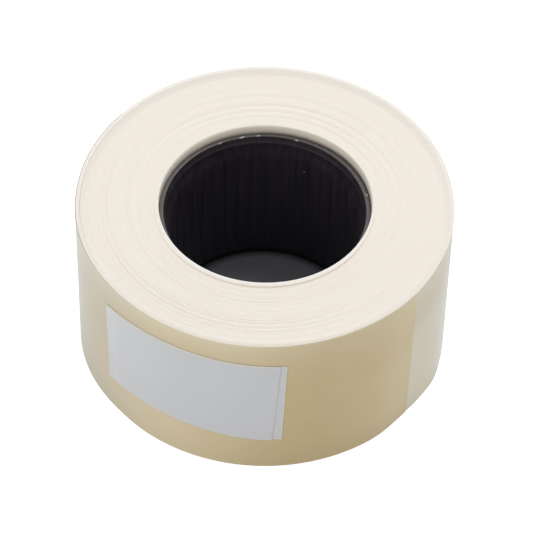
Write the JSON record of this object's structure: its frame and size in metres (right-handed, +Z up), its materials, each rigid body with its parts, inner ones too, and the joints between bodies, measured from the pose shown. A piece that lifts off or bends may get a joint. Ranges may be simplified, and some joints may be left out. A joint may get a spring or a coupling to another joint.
{
  "type": "label roll",
  "caption": "Roll of self-adhesive price labels, wound inwards on a ribbed plastic core, standing on one end, with blank labels stuck on its outside.",
  "frame": {"origin": "on the core's axis, in the plane that the roll stands on", "axes": "+Z up along the core's axis, -Y towards the front of the roll, +X to the right seen from the front"},
  "size_m": [0.0799, 0.0802, 0.0406],
  "materials": {
    "core_plastic": "black moulded plastic, satin gloss",
    "tape_film": "clear yellowish adhesive tape",
    "backing_paper": "cream glassine backing, smooth with a soft sheen",
    "label_paper": "smooth white label paper"
  },
  "bodies": {
    "root": {"core": "core_plastic", "start_tape": "tape_film", "liner_web": "backing_paper", "wound_labels": "label_paper", "under_label": "label_paper", "top_label": "label_paper"}
  },
  "joints": []
}
